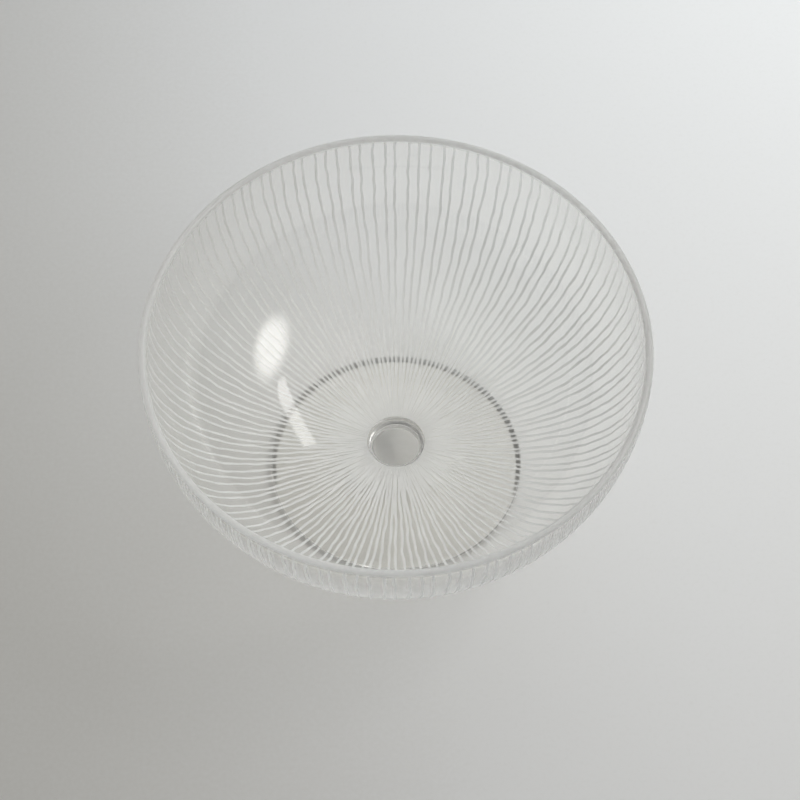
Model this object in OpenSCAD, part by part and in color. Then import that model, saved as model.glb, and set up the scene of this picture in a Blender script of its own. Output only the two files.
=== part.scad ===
// Footed compote dish in clear glass: a thin blown bowl with opal threads fused
// to its outside, on a short flared stem and a round foot.
// The dish stands on the plane z = 0, with its axis on +Z.

/* [Bowl] */
// Outside diameter of the bowl at the rim
rim_d = 120; // [110:1:132]
// Radius of the round shoulder in the outside profile
shoulder_arc = 42; // [36:1:48]
// Radius of the shallow base in the outside profile
base_arc = 98; // [84:1:130]
// Height of the upright band below the rim
lip_band = 2; // [1.8:0.1:8]
// Thickness of the glass at the rim and the sides
wall = 1.8; // [1.4:0.1:2.4]
// Extra thickness of the glass in the middle of the base
base_extra = 0.8; // [0.2:0.1:1]

/* [Stem] */
// Length of the stem on its axis
stem_h = 9; // [7.5:0.5:14]
// Diameter of the upright neck
neck_d = 11.6; // [10.4:0.2:13]
// Diameter of the flare fused under the bowl
stem_top_d = 14.2; // [13.6:0.2:15.6]
// Height of the flare under the bowl
top_flare_h = 2.2; // [1.8:0.1:3]
// Diameter of the flare fused on the foot
stem_foot_d = 19; // [15:0.5:20]
// Height of the flare on the foot
foot_flare_h = 4.5; // [4:0.1:5]

/* [Foot] */
// Diameter of the foot
foot_d = 63; // [54:1:76]
// Thickness of the round edge
foot_edge = 2.6; // [2:0.1:3.4]
// Height of the foot where the stem sits on it
foot_h = 4; // [3.5:0.1:6]
// Width of the ground ring that the dish rests on
rest_w = 4.5; // [3:0.5:8]
// Depth of the shallow hollow inside that ring
hollow = 0.8; // [0.4:0.1:1.4]

/* [Opal threads] */
// Number of threads round the bowl
thread_count = 128; // [90:1:136]
// Width of a thread
thread_w = 0.62; // [0.4:0.02:0.8]
// Height of a thread above the bowl's outside
thread_h = 0.2; // [0.1:0.05:0.4]
// Least gap between threads where they crowd round the stem
thread_gap = 0.08; // [0.04:0.01:0.14]
// Clear band between the ends of the threads and the top of the rim
thread_stop = 1; // [1:0.1:6]
// Gap between the ends of the threads and the stem
stem_gap = 0.1; // [0.05:0.05:0.5]
// Largest drift of a thread at the rim, as a share of the spacing
thread_drift = 0.12; // [0:0.02:0.3]

/* [Hidden] */
$fn = 180;
wide_fn = 12 * $fn;

rim_r = rim_d / 2;
stem_top_r = stem_top_d / 2;
foot_r = foot_d / 2;
edge_r = foot_edge / 2;

// The two arcs of the bowl's profile share a tangent: the base arc is centred
// on the axis, and the shoulder arc ends upright below the rim.
shoulder_x = rim_r - shoulder_arc;
join_angle = asin(shoulder_x / (base_arc - shoulder_arc));
base_rise = (base_arc - shoulder_arc) * cos(join_angle);
bowl_bottom = foot_h + stem_h;
base_z = bowl_bottom + base_arc;
shoulder_z = base_z - base_rise;
rim_z = shoulder_z + lip_band;
far = 2 * base_arc;

// Height of the bowl's underside at a radius within the base arc
function underside(r) = base_z - sqrt(base_arc * base_arc - r * r);

// Radius of the arc that leaves the neck upright and reaches a flare
function flare_arc(rise, flare) = (rise * rise + flare * flare) / (2 * flare);

// Half of the bowl's section, filled up to a height and grown by a margin
module bowl_section(grow, top) {
    intersection() {
        union() {
            intersection() {
                translate([0, base_z]) circle(base_arc + grow);
                translate([0, base_z])
                    polygon([[0, 0], [0, -far], far * [sin(join_angle), -cos(join_angle)]]);
            }
            translate([shoulder_x, shoulder_z]) circle(shoulder_arc + grow);
            translate([0, shoulder_z]) square([rim_r + grow, far]);
        }
        square([far, top]);
    }
}

// Thin blown shell, a little thicker in the base, with a fire-rounded lip
module bowl() {
    lip_z = rim_z - wall / 2;
    color([0.86, 0.89, 0.90, 0.35])
        rotate_extrude() {
            difference() {
                bowl_section(0, lip_z);
                translate([0, base_extra]) bowl_section(-wall, far);
            }
            translate([rim_r - wall / 2, lip_z]) circle(wall / 2);
        }
}

// Solid stem: an upright neck with a small flare that takes the curve of the
// bowl's underside, and a wider one on the foot
module stem() {
    neck_r = neck_d / 2;
    top_edge_z = underside(stem_top_r);
    top_arc = flare_arc(top_flare_h, stem_top_r - neck_r);
    foot_arc = flare_arc(foot_flare_h, stem_foot_d / 2 - neck_r);
    color([0.84, 0.87, 0.88, 0.35])
        rotate_extrude()
            difference() {
                union() {
                    difference() {
                        translate([0, foot_h]) square([neck_r + foot_arc, foot_flare_h]);
                        translate([neck_r + foot_arc, foot_h + foot_flare_h]) circle(foot_arc);
                    }
                    translate([0, foot_h]) square([neck_r, stem_h + top_flare_h]);
                    difference() {
                        translate([0, top_edge_z - top_flare_h]) square([neck_r + top_arc, 2 * top_flare_h]);
                        translate([neck_r + top_arc, top_edge_z - top_flare_h]) circle(top_arc);
                    }
                }
                translate([0, base_z]) circle(base_arc);
            }
}

// Round foot: a cone-topped disc with a rounded edge, resting on a ground ring
// round a shallow hollow
module foot() {
    edge_x = foot_r - edge_r;
    land_r = stem_foot_d / 2;
    hollow_r = edge_x - rest_w;
    hollow_arc = (hollow_r * hollow_r + hollow * hollow) / (2 * hollow);
    color([0.84, 0.87, 0.88, 0.35])
        rotate_extrude()
            difference() {
                union() {
                    polygon([[0, 0], [edge_x, 0], [edge_x, foot_edge], [land_r, foot_h], [0, foot_h]]);
                    translate([edge_x, edge_r]) circle(edge_r);
                }
                translate([0, hollow - hollow_arc]) circle(hollow_arc, $fn = wide_fn);
            }
}

// Outline of one thread, laid along +X from the stem: narrow where the threads
// crowd together, then of even width
module thread_outline(root_w, even_at, length) {
    polygon([
        [0, -root_w / 2], [even_at, -thread_w / 2], [length, -thread_w / 2],
        [length, thread_w / 2], [even_at, thread_w / 2], [0, root_w / 2]
    ]);
}

// Opal threads fused on the outside of the bowl, from the stem to the rim.
// Each is a strip of a thin skin on the bowl, and drifts a little to one side.
module opal_threads() {
    root_r = stem_top_r + stem_gap;
    pitch = 360 / thread_count;
    most_drift = thread_drift * pitch;
    root_w = 2 * root_r * sin(pitch / 2) - thread_gap;
    even_at = (thread_w - root_w) / (2 * sin(pitch / 2) - 2 * sin(most_drift));
    length = rim_r - root_r + thread_h;
    color([0.95, 0.95, 0.93])
        intersection() {
            rotate_extrude()
                difference() {
                    bowl_section(thread_h, rim_z - thread_stop);
                    bowl_section(0, far);
                }
            linear_extrude(rim_z)
                for (i = [0 : thread_count - 1])
                    rotate(i * pitch)
                        translate([root_r, 0])
                            rotate(most_drift * sin(i * 137.5))
                                thread_outline(root_w, even_at, length);
        }
}

bowl();
stem();
foot();
opal_threads();
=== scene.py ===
import math

import bpy
import numpy as np
from mathutils import Matrix


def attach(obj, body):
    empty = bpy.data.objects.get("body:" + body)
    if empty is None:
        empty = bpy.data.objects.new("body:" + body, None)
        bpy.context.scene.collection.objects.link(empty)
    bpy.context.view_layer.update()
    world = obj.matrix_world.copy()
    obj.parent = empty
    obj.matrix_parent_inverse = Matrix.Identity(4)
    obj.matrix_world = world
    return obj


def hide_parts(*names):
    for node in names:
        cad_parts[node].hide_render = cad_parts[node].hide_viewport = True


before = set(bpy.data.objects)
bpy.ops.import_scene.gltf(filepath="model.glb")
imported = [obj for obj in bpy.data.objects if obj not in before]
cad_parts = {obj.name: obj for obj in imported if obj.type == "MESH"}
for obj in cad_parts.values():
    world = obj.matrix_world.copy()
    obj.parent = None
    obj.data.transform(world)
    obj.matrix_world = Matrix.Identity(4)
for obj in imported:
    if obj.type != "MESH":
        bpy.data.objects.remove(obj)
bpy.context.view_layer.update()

MM = 0.001

# The bowl is a thin shell of clear glass, blown round, with a fire-rounded lip.
# Its base is shallow, its shoulder round, and its wall ends upright at the rim.
# The middle of its underside is fused to the stem, so no surface shows there.
RIM_R = 60 * MM
SHOULDER_ARC = 42 * MM
BASE_ARC = 98 * MM
LIP_BAND = 2 * MM
WALL = 1.8 * MM
BASE_EXTRA = 0.8 * MM
STEM_TOP_R = 7.1 * MM
BOWL_BOTTOM = 13 * MM

SHOULDER_X = RIM_R - SHOULDER_ARC
JOIN_ANGLE = math.asin(SHOULDER_X / (BASE_ARC - SHOULDER_ARC))
STEM_ANGLE = math.asin(STEM_TOP_R / BASE_ARC)
BASE_Z = BOWL_BOTTOM + BASE_ARC
SHOULDER_Z = BASE_Z - (BASE_ARC - SHOULDER_ARC) * math.cos(JOIN_ANGLE)
RIM_Z = SHOULDER_Z + LIP_BAND
LIP_Z = RIM_Z - WALL / 2
INNER_SHOULDER_Z = SHOULDER_Z + BASE_EXTRA
INNER_BASE_Z = BASE_Z + BASE_EXTRA

TURN_STEPS = 432
SEAM_POINTS = 8
BASE_POINTS = 18
SHOULDER_POINTS = 52
LIP_POINTS = 41
INNER_BASE_POINTS = 26
SAME_POINT = 1e-7
TURNED_CREASE = math.radians(25)
# The three stretches of the outside share two points
OUTER_POINTS = SEAM_POINTS + BASE_POINTS + SHOULDER_POINTS - 2

# Places in a turned piece's list of finishes
PLAIN = 0
FUSED = 1
OTHER = 2

# The lip and a band of the outside below it are a little rough, as a stand-in for their soft look
# in the photograph.
BAND_DEPTH = 26 * MM
BAND_SOFT_DEPTH = 12 * MM
BAND_ROUGHNESS = 0.22
LIP_DEPTH = 1.8 * MM
LIP_SOFT_DEPTH = 0.8 * MM
LIP_ROUGHNESS = 0.3
LIP_CLEARNESS = 0.9

GLASS_IOR = 1.5
RIPPLE_DEPTH = 0.2 * MM
HANDLING_ROUGHNESS = 0.04
CLEAR = (0.998, 0.997, 0.993)
BOWL_RIPPLE = 0.04
BOWL_TINTS = (0.996, 0.991, 0.974), (1.0, 0.998, 0.986)
BOWL_SLANT = (0.45, 1)
BOWL_ASIDE = (0.62, 0.61, 0.59)
BAND_STRAIGHT = (0.96, 0.955, 0.943)


def arc(centre, radius, start, end, count):
    """Points on a circle, from one angle to another, measured from straight down towards +r."""
    angle = np.linspace(start, end, count)
    return np.stack([centre[0] + radius * np.sin(angle), centre[1] - radius * np.cos(angle)], 1)


def path(*stretches):
    """Joins stretches of a profile end to end and drops a point that repeats the one before it."""
    points = np.concatenate([np.asarray(s, float).reshape(-1, 2) for s in stretches])
    step = np.linalg.norm(np.diff(points, axis=0), axis=1)
    return points[np.concatenate([[True], step > SAME_POINT])]


def new_piece(name, verts, faces, crease):
    """An object at the origin with a smooth mesh, whose edges are sharp where faces turn by more
    than the crease angle."""
    mesh = bpy.data.meshes.new(name)
    mesh.from_pydata(verts.reshape(-1, 3).tolist(), [], faces)
    mesh.polygons.foreach_set("use_smooth", np.ones(len(mesh.polygons), bool))
    mesh.set_sharp_from_angle(angle=crease)
    piece = bpy.data.objects.new(name, mesh)
    bpy.context.scene.collection.objects.link(piece)
    return piece


def turned(name, profile, finishes, finish_of):
    """A closed surface of revolution: the profile runs from one point on the axis to another,
    and each of its points is carried round a circle. finish_of gives, for each step of the profile,
    which of the finishes its faces have."""
    ring = profile[1:-1]
    turn = np.linspace(0, 2 * np.pi, TURN_STEPS, endpoint=False)
    x = ring[:, :1] * np.cos(turn)
    y = ring[:, :1] * np.sin(turn)
    z = np.repeat(ring[:, 1:], TURN_STEPS, 1)
    poles = [[0, 0, profile[0, 1]], [0, 0, profile[-1, 1]]]
    verts = np.concatenate([np.stack([x, y, z], -1).reshape(-1, 3), poles])
    index = np.arange(len(ring) * TURN_STEPS).reshape(len(ring), TURN_STEPS)
    after = np.roll(index, -1, 1)
    quads = np.stack([index[:-1], after[:-1], after[1:], index[1:]], -1).reshape(-1, 4)
    first = np.stack([np.full(TURN_STEPS, len(verts) - 2), after[0], index[0]], -1)
    last = np.stack([np.full(TURN_STEPS, len(verts) - 1), index[-1], after[-1]], -1)
    piece = new_piece(name, verts, quads.tolist() + first.tolist() + last.tolist(), TURNED_CREASE)
    for finish in finishes:
        piece.data.materials.append(finish)
    step_order = np.concatenate([finish_of[1:-1], finish_of[:1], finish_of[-1:]])
    face_finish = np.repeat(step_order, TURN_STEPS).astype(np.int32)
    piece.data.polygons.foreach_set("material_index", face_finish)
    return piece


def feed(tree, target, inputs):
    """Sets each named input of a node to a value, or links it where it is given another node's output."""
    for key, value in inputs.items():
        if isinstance(value, bpy.types.NodeSocket):
            tree.links.new(value, target.inputs[key])
        else:
            target.inputs[key].default_value = value


def node(tree, kind, inputs, **settings):
    """A new shader node with its settings and inputs."""
    made = tree.nodes.new("ShaderNode" + kind)
    for key, value in settings.items():
        setattr(made, key, value)
    feed(tree, made, inputs)
    return made


def ramp(tree, factor, *stops):
    """A colour ramp through stops of position and colour, the first and last of which it already has."""
    made = node(tree, "ValToRGB", {"Fac": factor})
    elements = made.color_ramp.elements
    for end in (0, -1):
        position, colour = stops[end]
        elements[end].position = position
        elements[end].color = (*colour, 1)
    for position, colour in stops[1:-1]:
        elements.new(position).color = (*colour, 1)
    return made.outputs["Color"]


def new_finish(name):
    """A new material with one Principled shader: the material, its tree and its shader."""
    material = bpy.data.materials.new(name)
    material.use_nodes = True
    return material, material.node_tree, material.node_tree.nodes["Principled BSDF"]


def clear_glass(name, ripple, melt_tints, straight, slant, aside):
    """Clear glass: a trace of warm grey in the melt, slow hand-blown ripples and faint handling marks.
    Light that goes on to fall on a matt surface passes straight through. It is coloured by straight
    where it meets the surface squarely and by aside at a slant, because real glass bends it aside."""
    material, tree, shader = new_finish(name)
    place = node(tree, "TexCoord", {}).outputs["Object"]
    melt = node(tree, "TexNoise", {"Scale": 30, "Vector": place})
    marks = node(tree, "TexNoise", {"Scale": 140, "Detail": 6, "Vector": place})
    rough = node(tree, "MapRange", {"Value": marks.outputs["Fac"], "From Min": 0.5, "From Max": 0.8,
                                    "To Min": 0, "To Max": HANDLING_ROUGHNESS})
    wave = node(tree, "TexNoise", {"Scale": 55, "Detail": 1, "Vector": place})
    bump = node(tree, "Bump", {"Height": wave.outputs["Fac"], "Strength": ripple, "Distance": RIPPLE_DEPTH})
    feed(tree, shader, {
        "Base Color": ramp(tree, melt.outputs["Fac"], (0, melt_tints[0]), (1, melt_tints[1])),
        "Roughness": rough.outputs["Result"],
        "Normal": bump.outputs["Normal"],
        "Transmission Weight": 1,
        "IOR": GLASS_IOR})
    tilt = node(tree, "LayerWeight", {"Blend": 0.5})
    dimming = ramp(tree, tilt.outputs["Facing"], (slant[0], straight), (slant[1], aside))
    through = node(tree, "BsdfTransparent", {"Color": dimming})
    ray = node(tree, "LightPath", {})
    falling = node(tree, "Math", {0: ray.outputs["Is Shadow Ray"], 1: ray.outputs["Is Diffuse Ray"]},
                   operation="MAXIMUM")
    either = node(tree, "MixShader", {"Fac": falling.outputs["Value"], 1: shader.outputs["BSDF"],
                                      2: through.outputs["BSDF"]})
    feed(tree, tree.nodes["Material Output"], {"Surface": either.outputs["Shader"]})
    return material


def soften(material, low, high, roughness, clearness):
    """Softens a finish towards the rim, which looks soft in the photograph: from one height to another
    its roughness rises and its clearness falls."""
    tree = material.node_tree
    shader = tree.nodes["Principled BSDF"]
    place = node(tree, "TexCoord", {}).outputs["Object"]
    height = node(tree, "SeparateXYZ", {"Vector": place}).outputs["Z"]
    span = {"Value": height, "From Min": low, "From Max": high}
    softer = node(tree, "MapRange", {**span, "To Max": roughness})
    rougher = node(tree, "Math", {0: shader.inputs["Roughness"].links[0].from_socket,
                                  1: softer.outputs["Result"]}, operation="MAXIMUM")
    clear = node(tree, "MapRange", {**span, "To Min": 1, "To Max": clearness})
    feed(tree, shader, {"Roughness": rougher.outputs["Value"],
                        "Transmission Weight": clear.outputs["Result"]})


def fused_seam():
    """The face inside a hot joint, where two pieces are one glass and nothing shows."""
    material, tree, shader = new_finish("fused_seam")
    feed(tree, shader, {"Alpha": 0})
    return material


bowl_profile = path(
    arc((0, BASE_Z), BASE_ARC, 0, STEM_ANGLE, SEAM_POINTS),
    arc((0, BASE_Z), BASE_ARC, STEM_ANGLE, JOIN_ANGLE, BASE_POINTS),
    arc((SHOULDER_X, SHOULDER_Z), SHOULDER_ARC, JOIN_ANGLE, math.pi / 2, SHOULDER_POINTS),
    arc((RIM_R - WALL / 2, LIP_Z), WALL / 2, math.pi / 2, 1.5 * math.pi, LIP_POINTS),
    arc((SHOULDER_X, INNER_SHOULDER_Z), SHOULDER_ARC - WALL, math.pi / 2, JOIN_ANGLE, SHOULDER_POINTS),
    arc((0, INNER_BASE_Z), BASE_ARC - WALL, JOIN_ANGLE, 0, INNER_BASE_POINTS))
band_low = RIM_Z - BAND_DEPTH
bowl_steps = np.arange(len(bowl_profile) - 1)
on_seam = bowl_steps < SEAM_POINTS - 1
on_band = (bowl_steps < OUTER_POINTS - 1) & (bowl_profile[:-1, 1] > band_low)
bowl_finish_of = np.where(on_band, OTHER, np.where(on_seam, FUSED, PLAIN))
seam_finish = fused_seam()
bowl_finish = clear_glass("bowl_clear_glass", BOWL_RIPPLE, BOWL_TINTS, CLEAR, BOWL_SLANT, BOWL_ASIDE)
band_finish = clear_glass("bowl_band_glass", BOWL_RIPPLE, BOWL_TINTS, BAND_STRAIGHT, BOWL_SLANT, BOWL_ASIDE)
soften(bowl_finish, RIM_Z - LIP_DEPTH, RIM_Z - LIP_SOFT_DEPTH, LIP_ROUGHNESS, LIP_CLEARNESS)
soften(band_finish, band_low, RIM_Z - BAND_SOFT_DEPTH, BAND_ROUGHNESS, 1)
bowl = turned("bowl_glass", bowl_profile, [bowl_finish, seam_finish, band_finish], bowl_finish_of)
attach(bowl, "root")
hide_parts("bowl")

# The threads are fine canes of milky glass, picked up on the outside of the bowl and blown out
# with it. They run from the stem to the rim, a little unevenly spaced and wavy, stand slightly
# proud of the wall, less so near the rim, and crowd together round the stem.
THREAD_COUNT = 128
THREAD_W = 0.62 * MM
THREAD_H = 0.2 * MM
THREAD_SUNK = 0.06 * MM
THREAD_GAP = 0.03 * MM
THREAD_STOP = 1 * MM
STEM_GAP = 0.1 * MM
RIM_H_SHARE = 0.4
LOWERING_RUN = [0.55, 0.75]
TOP_FALL = 0.85
THREAD_STEPS = 106
THREAD_SIDES = 5
THREAD_CREASE = math.radians(50)

THREAD_SEED = 20
THREAD_DRIFT = 0.12
DRIFT_TURN = math.radians(137.5)
WAVE_LENGTHS = np.array([33, 17, 9, 5]) * MM
WAVE_HEIGHTS = np.array([0.10, 0.09, 0.08, 0.05]) * MM
WAVE_SHARES = (0.5, 1.3)
WAVES_GROW_OVER = 12 * MM
SWELL = 0.10
SWELL_LENGTH = 9 * MM

MILK_TINTS = (0.95, 0.95, 0.94), (0.99, 0.99, 0.985)
SATIN_ROUGHNESS = (0.4, 0.6)
GRAIN_DEPTH = 0.05 * MM
GRAIN_STRENGTH = 0.15
FORWARD_SHARE = 0.5
SHEER_SHARE = 0.38
OPAL_SHADOW = (0.85, 0.845, 0.835, 1)


def thread_route(count):
    """Evenly spaced points up the outside of the bowl, from the stem to below the rim: the distance
    along the wall, and the radius, height and outward normal at each point."""
    root = math.asin((STEM_TOP_R + STEM_GAP) / BASE_ARC)
    base = BASE_ARC * (JOIN_ANGLE - root)
    shoulder = SHOULDER_ARC * (math.pi / 2 - JOIN_ANGLE)
    upright = RIM_Z - THREAD_STOP - SHOULDER_Z
    run = np.linspace(0, base + shoulder + upright, count)
    in_base = run < base
    angle = np.where(in_base, root + run / BASE_ARC, JOIN_ANGLE + (run - base) / SHOULDER_ARC)
    angle = np.minimum(angle, math.pi / 2)
    size = np.where(in_base, BASE_ARC, SHOULDER_ARC)
    radius = np.where(in_base, 0, SHOULDER_X) + size * np.sin(angle)
    height = np.where(in_base, BASE_Z, SHOULDER_Z) - size * np.cos(angle)
    height = height + np.maximum(run - base - shoulder, 0)
    return run, radius, height, np.sin(angle), -np.cos(angle)


def threads(name):
    """Each thread is a strip with a flat underside and an arched top, carried up the wall. Its angle round
    the bowl is its own place, plus a steady drift to one side, plus a sum of four sine waves with random
    phases. Its width swells and shrinks as a sine wave, but leaves a gap to its neighbours at the stem."""
    draw = np.random.default_rng(THREAD_SEED)
    run, radius, height, out_r, out_z = thread_route(THREAD_STEPS)
    number = np.arange(THREAD_COUNT)[:, None]
    pitch = 2 * np.pi / THREAD_COUNT
    drift = THREAD_DRIFT * pitch * np.sin(DRIFT_TURN * number)
    phase = draw.uniform(0, 2 * np.pi, (THREAD_COUNT, 1, len(WAVE_LENGTHS)))
    swing = WAVE_HEIGHTS * draw.uniform(*WAVE_SHARES, (THREAD_COUNT, 1, len(WAVE_LENGTHS)))
    wave = (swing * np.sin(2 * np.pi * run[None, :, None] / WAVE_LENGTHS + phase)).sum(-1)
    free = np.clip((radius - STEM_TOP_R) / WAVES_GROW_OVER, 0, 1)
    side = (radius - radius[0]) * np.sin(drift) + wave * free
    turn = number * pitch + side / radius
    swell = 1 + SWELL * np.sin(2 * np.pi * run / SWELL_LENGTH + 2 * phase[:, :, 0])
    width = np.minimum(THREAD_W * swell, radius * pitch - THREAD_GAP)
    across = np.linspace(-1, 1, THREAD_SIDES)
    share = np.concatenate([across, [1, -1]]) / 2
    rise = np.concatenate([np.sqrt(1 - TOP_FALL * across ** 2), [0, 0]])
    tall = THREAD_H * np.interp(run / run[-1], LOWERING_RUN, [1, RIM_H_SHARE])
    proud = tall[:, None] * rise - THREAD_SUNK * (rise == 0)
    shift = share * width[:, :, None]
    out = radius[:, None] + proud * out_r[:, None]
    up = np.broadcast_to(height[:, None] + proud * out_z[:, None], shift.shape)
    cos_turn = np.cos(turn)[:, :, None]
    sin_turn = np.sin(turn)[:, :, None]
    verts = np.stack([out * cos_turn - shift * sin_turn, out * sin_turn + shift * cos_turn, up], -1)
    index = np.arange(shift.size).reshape(shift.shape)
    after = np.roll(index, -1, 2)
    quads = np.stack([index[:, :-1], index[:, 1:], after[:, 1:], after[:, :-1]], -1).reshape(-1, 4)
    ends = index[:, 0].tolist() + index[:, -1, ::-1].tolist()
    return new_piece(name, verts, quads.tolist() + ends, THREAD_CREASE)


def opal_glass():
    """Milky opal glass: white that scatters light forwards as well as back, cloudier in places, satin
    outside and a little sheer. Most of the light that falls on it goes on to what lies behind."""
    material, tree, shader = new_finish("opal_glass")
    place = node(tree, "TexCoord", {}).outputs["Object"]
    cloud = node(tree, "TexNoise", {"Scale": 220, "Detail": 4, "Vector": place}).outputs["Fac"]
    milk = ramp(tree, cloud, (0.3, MILK_TINTS[0]), (0.7, MILK_TINTS[1]))
    satin = node(tree, "MapRange", {"Value": cloud, "To Min": SATIN_ROUGHNESS[0],
                                    "To Max": SATIN_ROUGHNESS[1]})
    grain = node(tree, "Bump", {"Height": cloud, "Strength": GRAIN_STRENGTH,
                                "Distance": GRAIN_DEPTH}).outputs["Normal"]
    feed(tree, shader, {"Base Color": milk, "Roughness": satin.outputs["Result"], "Normal": grain})
    forward = node(tree, "BsdfTranslucent", {"Color": milk, "Normal": grain})
    body = node(tree, "MixShader", {"Fac": FORWARD_SHARE, 1: shader.outputs["BSDF"],
                                    2: forward.outputs["BSDF"]})
    gap = node(tree, "BsdfTransparent", {})
    sheer = node(tree, "MixShader", {"Fac": SHEER_SHARE, 1: body.outputs["Shader"], 2: gap.outputs["BSDF"]})
    through = node(tree, "BsdfTransparent", {"Color": OPAL_SHADOW})
    ray = node(tree, "LightPath", {})
    either = node(tree, "MixShader", {"Fac": ray.outputs["Is Shadow Ray"], 1: sheer.outputs["Shader"],
                                      2: through.outputs["BSDF"]})
    feed(tree, tree.nodes["Material Output"], {"Surface": either.outputs["Shader"]})
    return material


opal = threads("opal_threads_milk")
opal.data.materials.append(opal_glass())
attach(opal, "root")
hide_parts("opal_threads")

# The stem is one short gather of clear glass, drawn between bowl and foot while hot: a waist that
# spreads a little under the bowl and more widely on the foot. Both ends are fused.
STEM_H = 9 * MM
NECK_R = 5.8 * MM
TOP_FLARE_H = 4.5 * MM
STEM_FOOT_R = 9.5 * MM
FOOT_FLARE_H = 4.5 * MM
FOOT_H = BOWL_BOTTOM - STEM_H
STEM_TOP_EDGE = BASE_Z - BASE_ARC * math.cos(STEM_ANGLE)
FOOT_FLARE_POINTS = 36
TOP_FLARE_POINTS = 28

STEM_RIPPLE = 0.03
STEM_TINTS = (0.985, 0.98, 0.965), (0.995, 0.992, 0.982)
STEM_SLANT = (0.05, 0.45)
STEM_ASIDE = (0.08, 0.078, 0.073)


def flare(neck_z, end_r, end_z, count):
    """The arc that leaves the neck upright at one height and reaches the edge of a flare at another. Its
    radius is the squared chord over twice the step outwards."""
    rise = abs(end_z - neck_z)
    out = end_r - NECK_R
    size = (rise * rise + out * out) / (2 * out)
    reach = math.asin(rise / size) * np.linspace(0, 1, count)
    up = math.copysign(1, end_z - neck_z)
    return np.stack([NECK_R + size * (1 - np.cos(reach)), neck_z + up * size * np.sin(reach)], 1)


foot_land = np.stack([np.linspace(0, STEM_FOOT_R, SEAM_POINTS), np.full(SEAM_POINTS, FOOT_H)], 1)
stem_profile = path(
    foot_land,
    flare(FOOT_H + FOOT_FLARE_H, STEM_FOOT_R, FOOT_H, FOOT_FLARE_POINTS)[::-1],
    flare(STEM_TOP_EDGE - TOP_FLARE_H, STEM_TOP_R, STEM_TOP_EDGE, TOP_FLARE_POINTS),
    arc((0, BASE_Z), BASE_ARC, STEM_ANGLE, 0, SEAM_POINTS))
stem_steps = np.arange(len(stem_profile) - 1)
stem_free = (stem_steps >= SEAM_POINTS - 1) & (stem_steps < len(stem_profile) - SEAM_POINTS)
stem_finish = clear_glass("stem_clear_glass", STEM_RIPPLE, STEM_TINTS, CLEAR, STEM_SLANT, STEM_ASIDE)
stem = turned("stem_glass", stem_profile, [stem_finish, seam_finish], np.where(stem_free, PLAIN, FUSED))
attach(stem, "root")
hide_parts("stem")

# The foot is a disc of clear glass with a rounded edge and a slightly coned top. Its underside is
# hollowed a little, so that the dish stands on a flat ring near the edge. The lower half of the
# edge throws most light aside, so it has a finish of its own, which leaves a dark ring on the table.
FOOT_R = 31.5 * MM
EDGE_R = 1.3 * MM
REST_W = 4.5 * MM
HOLLOW = 0.8 * MM
EDGE_X = FOOT_R - EDGE_R
HOLLOW_R = EDGE_X - REST_W
HOLLOW_ARC = (HOLLOW_R ** 2 + HOLLOW ** 2) / (2 * HOLLOW)
HOLLOW_ANGLE = math.asin(HOLLOW_R / HOLLOW_ARC)
HOLLOW_POINTS = 24
REST_POINTS = 6
EDGE_POINTS = 25
CONE_POINTS = 16

FOOT_RIPPLE = 0.1
FOOT_TINTS = (0.994, 0.990, 0.974), (1.0, 0.998, 0.986)
FOOT_SLANT = (0.55, 0.8)
FOOT_ASIDE = (0.2, 0.195, 0.185)
EDGE_SLANT = (0.08, 0.2)
EDGE_ASIDE = (0.08, 0.078, 0.073)

foot_profile = path(
    arc((0, HOLLOW - HOLLOW_ARC), HOLLOW_ARC, math.pi, math.pi - HOLLOW_ANGLE, HOLLOW_POINTS),
    np.linspace((HOLLOW_R, 0), (EDGE_X, 0), REST_POINTS),
    arc((EDGE_X, EDGE_R), EDGE_R, 0, math.pi, EDGE_POINTS),
    np.linspace((EDGE_X, 2 * EDGE_R), (STEM_FOOT_R, FOOT_H), CONE_POINTS),
    foot_land[::-1])
foot_steps = np.arange(len(foot_profile) - 1)
foot_r, foot_z = foot_profile[:-1].T
under_edge = (foot_r > EDGE_X - SAME_POINT) & (foot_z < EDGE_R - SAME_POINT)
under_stem = foot_steps >= len(foot_profile) - SEAM_POINTS
foot_finish_of = np.where(under_stem, FUSED, np.where(under_edge, OTHER, PLAIN))
foot_finish = clear_glass("foot_clear_glass", FOOT_RIPPLE, FOOT_TINTS, CLEAR, FOOT_SLANT, FOOT_ASIDE)
edge_finish = clear_glass("foot_edge_glass", FOOT_RIPPLE, FOOT_TINTS, CLEAR, EDGE_SLANT, EDGE_ASIDE)
foot = turned("foot_glass", foot_profile, [foot_finish, seam_finish, edge_finish], foot_finish_of)
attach(foot, "root")
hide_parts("foot")

# The table is a plain pale sheet under the dish, matt, with a faint fine grain,
# and painted shade that makes it a little darker and warmer to the left.
TABLE_HALF = 2.0
TABLE_Z = -0.05 * MM
# Painted shade: the first tone is the darker, warmer table at the left, the second the table's own pale
# grey
TABLE_PAINTED_SHADE_TONES = (0.675, 0.66, 0.622), (0.81, 0.805, 0.79)
TABLE_ROUGHNESS = 0.7
TABLE_PAINTED_SHADE_WAY = (0.97, 0.25, 0)
TABLE_PAINTED_SHADE_FROM = -0.12
TABLE_GRAIN = 0.2


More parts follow.
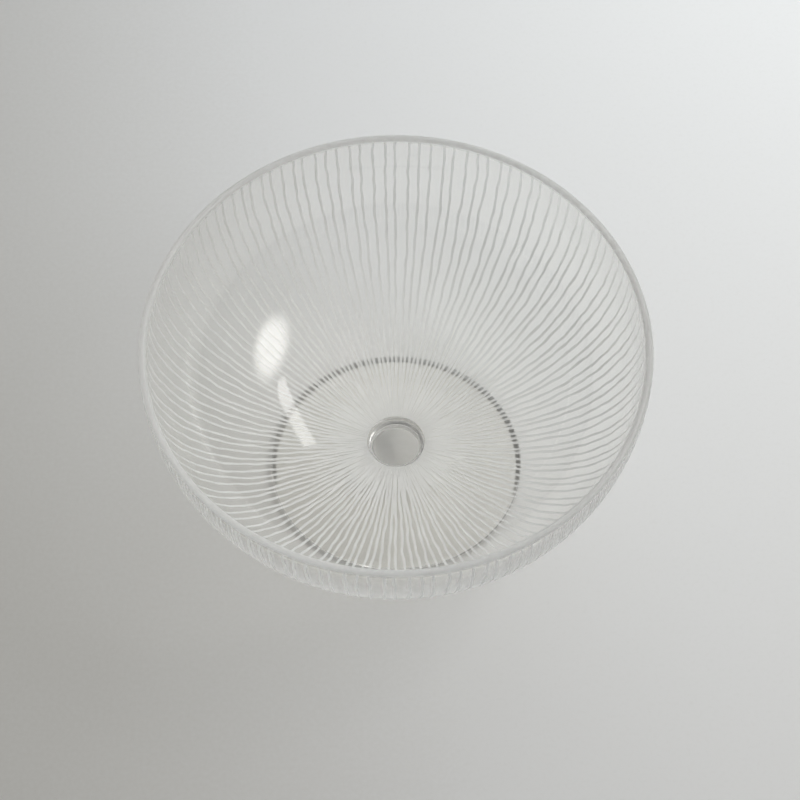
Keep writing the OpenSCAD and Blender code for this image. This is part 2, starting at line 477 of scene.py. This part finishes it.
def pale_table():
    """Matt pale grey with a faint fine grain, and painted shade: a little darker and warmer to the left."""
    material, tree, shader = new_finish("pale_table")
    place = node(tree, "TexCoord", {}).outputs["Object"]
    grain = node(tree, "TexNoise", {"Scale": 900, "Detail": 3, "Vector": place})
    # Painted shade: the further a point lies to the left along this way, the darker and warmer the table is
    # painted there
    across = node(tree, "VectorMath", {0: place, 1: TABLE_PAINTED_SHADE_WAY}, operation="DOT_PRODUCT")
    fade = node(tree, "MapRange", {"Value": across.outputs["Value"], "From Min": TABLE_PAINTED_SHADE_FROM,
                                   "From Max": 0})
    speck = node(tree, "MapRange", {"Value": grain.outputs["Fac"], "To Min": -TABLE_GRAIN,
                                    "To Max": TABLE_GRAIN})
    painted_shade_and_grain = node(tree, "Math", {0: fade.outputs["Result"], 1: speck.outputs["Result"]}, operation="ADD")
    tone = ramp(tree, painted_shade_and_grain.outputs["Value"], (0, TABLE_PAINTED_SHADE_TONES[0]), (1, TABLE_PAINTED_SHADE_TONES[1]))
    feed(tree, shader, {"Base Color": tone, "Roughness": TABLE_ROUGHNESS})
    return material


corner_sides = (-1, -1), (1, -1), (1, 1), (-1, 1)
table_corners = [(x * TABLE_HALF, y * TABLE_HALF, TABLE_Z) for x, y in corner_sides]
table_mesh = bpy.data.meshes.new("table")
table_mesh.from_pydata(table_corners, [], [(0, 1, 2, 3)])
table_mesh.materials.append(pale_table())
table = bpy.data.objects.new("table", table_mesh)
bpy.context.scene.collection.objects.link(table)

# The light is a soft-edged window high on the right with a narrow second pane, and a room that is
# brighter overhead. A glow at the window and a panel behind on the right show in no reflection.
WINDOW_AZIMUTH = 2.5
WINDOW_HEIGHT = 49.5
WINDOW_DISTANCE = 0.63
WINDOW_SPIN = 25
WINDOW_WHITE = (1.0, 0.985, 0.955)
PANE_WHITE = (1.0, 0.99, 0.97)
PANEL_WHITE = (0.93, 1.0, 1.06)
FADE_OUT = 0.5
FADE_FULL = 0.2
ROOM_BRIGHT_WAY = np.array([0.45, 0.30, 0.84])
ROOM_GREYS = (0, 0.03), (0.5, 0.09), (0.8, 0.235), (1, 0.47)


def lamp(name, azimuth, height, distance, size, spin, power, colour):
    """A rectangular lamp in a direction from the dish, turned to face it and spun about that line."""
    data = bpy.data.lights.new(name, "AREA")
    data.shape = "RECTANGLE"
    data.size, data.size_y = size
    data.energy = power
    data.color = colour
    holder = bpy.data.objects.new(name, data)
    bpy.context.scene.collection.objects.link(holder)
    around = math.radians(azimuth)
    above = math.radians(height)
    level = distance * math.cos(above)
    holder.location = (level * math.cos(around), level * math.sin(around), distance * math.sin(above))
    face = holder.location.to_track_quat("Z", "Y").to_matrix()
    holder.rotation_euler = (face @ Matrix.Rotation(math.radians(spin), 3, "Z")).to_euler()
    holder.visible_camera = False
    return holder


def soft_edge(holder):
    """Fades a lamp out along an oval: smoothly, from full near its middle to nothing at its edge."""
    holder.data.use_nodes = True
    tree = holder.data.node_tree
    place = node(tree, "NewGeometry", {})
    off = node(tree, "VectorMath", {0: place.outputs["Parametric"], 1: (0.5, 0.5, 0)}, operation="DISTANCE")
    fade = node(tree, "MapRange", {"Value": off.outputs["Value"], "From Min": FADE_OUT,
                                   "From Max": FADE_FULL}, interpolation_type="SMOOTHSTEP")
    feed(tree, tree.nodes["Emission"], {"Strength": fade.outputs["Result"]})


window = lamp("window", WINDOW_AZIMUTH, WINDOW_HEIGHT, WINDOW_DISTANCE, size=(0.40, 0.24),
              spin=WINDOW_SPIN, power=1.50, colour=WINDOW_WHITE)
soft_edge(window)
glow = lamp("window_glow", WINDOW_AZIMUTH, WINDOW_HEIGHT, WINDOW_DISTANCE, size=(0.29, 0.15),
            spin=WINDOW_SPIN, power=0.70, colour=WINDOW_WHITE)
lamp("second_pane", azimuth=46, height=56.5, distance=WINDOW_DISTANCE, size=(0.21, 0.035),
     spin=-20, power=0.080, colour=PANE_WHITE)
panel = lamp("panel", azimuth=60, height=40, distance=0.34, size=(0.3, 0.3),
             spin=0, power=0.47, colour=PANEL_WHITE)
for unseen in (glow, panel):
    unseen.visible_glossy = False
    unseen.visible_transmission = False

room = bpy.data.worlds.new("room")
room.use_nodes = True
bpy.context.scene.world = room
room_tree = room.node_tree
way = node(room_tree, "TexCoord", {}).outputs["Generated"]
bright_way = (ROOM_BRIGHT_WAY / np.linalg.norm(ROOM_BRIGHT_WAY)).tolist()
facing = node(room_tree, "VectorMath", {0: way, 1: bright_way}, operation="DOT_PRODUCT")
spread = node(room_tree, "MapRange", {"Value": facing.outputs["Value"], "From Min": -1})
shade = ramp(room_tree, spread.outputs["Result"], *[(place, (grey,) * 3) for place, grey in ROOM_GREYS])
feed(room_tree, room_tree.nodes["Background"], {"Color": shade, "Strength": 1})

# The camera looks down at about sixty degrees, from about 0.7 metres: its place is given by where it
# sees the middle of the rim. Light can be guided a long way inside the glass, so it is followed
# through many bounces.
FOCAL_PIXELS = 3000
IMAGE_PIXELS = 800
SENSOR_WIDTH = 36
PITCH = math.radians(59.87)
RIM_RIGHT = -0.0159 * RIM_R
RIM_DOWN = -0.2124 * RIM_R
RIM_AHEAD = 11.6369 * RIM_R
GLASS_BOUNCES = 64
CLEAR_CROSSINGS = 32

camera_data = bpy.data.cameras.new("camera")
camera_data.sensor_width = SENSOR_WIDTH
camera_data.lens = SENSOR_WIDTH * FOCAL_PIXELS / IMAGE_PIXELS
camera = bpy.data.objects.new("camera", camera_data)
bpy.context.scene.collection.objects.link(camera)
cos_pitch = math.cos(PITCH)
sin_pitch = math.sin(PITCH)
camera.location = (-RIM_RIGHT, sin_pitch * RIM_DOWN - cos_pitch * RIM_AHEAD,
                   RIM_Z + cos_pitch * RIM_DOWN + sin_pitch * RIM_AHEAD)
camera.rotation_euler = (math.pi / 2 - PITCH, 0, 0)

scene = bpy.context.scene
scene.camera = camera
scene.view_settings.view_transform = "Standard"
scene.cycles.max_bounces = GLASS_BOUNCES
scene.cycles.transmission_bounces = GLASS_BOUNCES
scene.cycles.glossy_bounces = GLASS_BOUNCES
scene.cycles.transparent_max_bounces = CLEAR_CROSSINGS
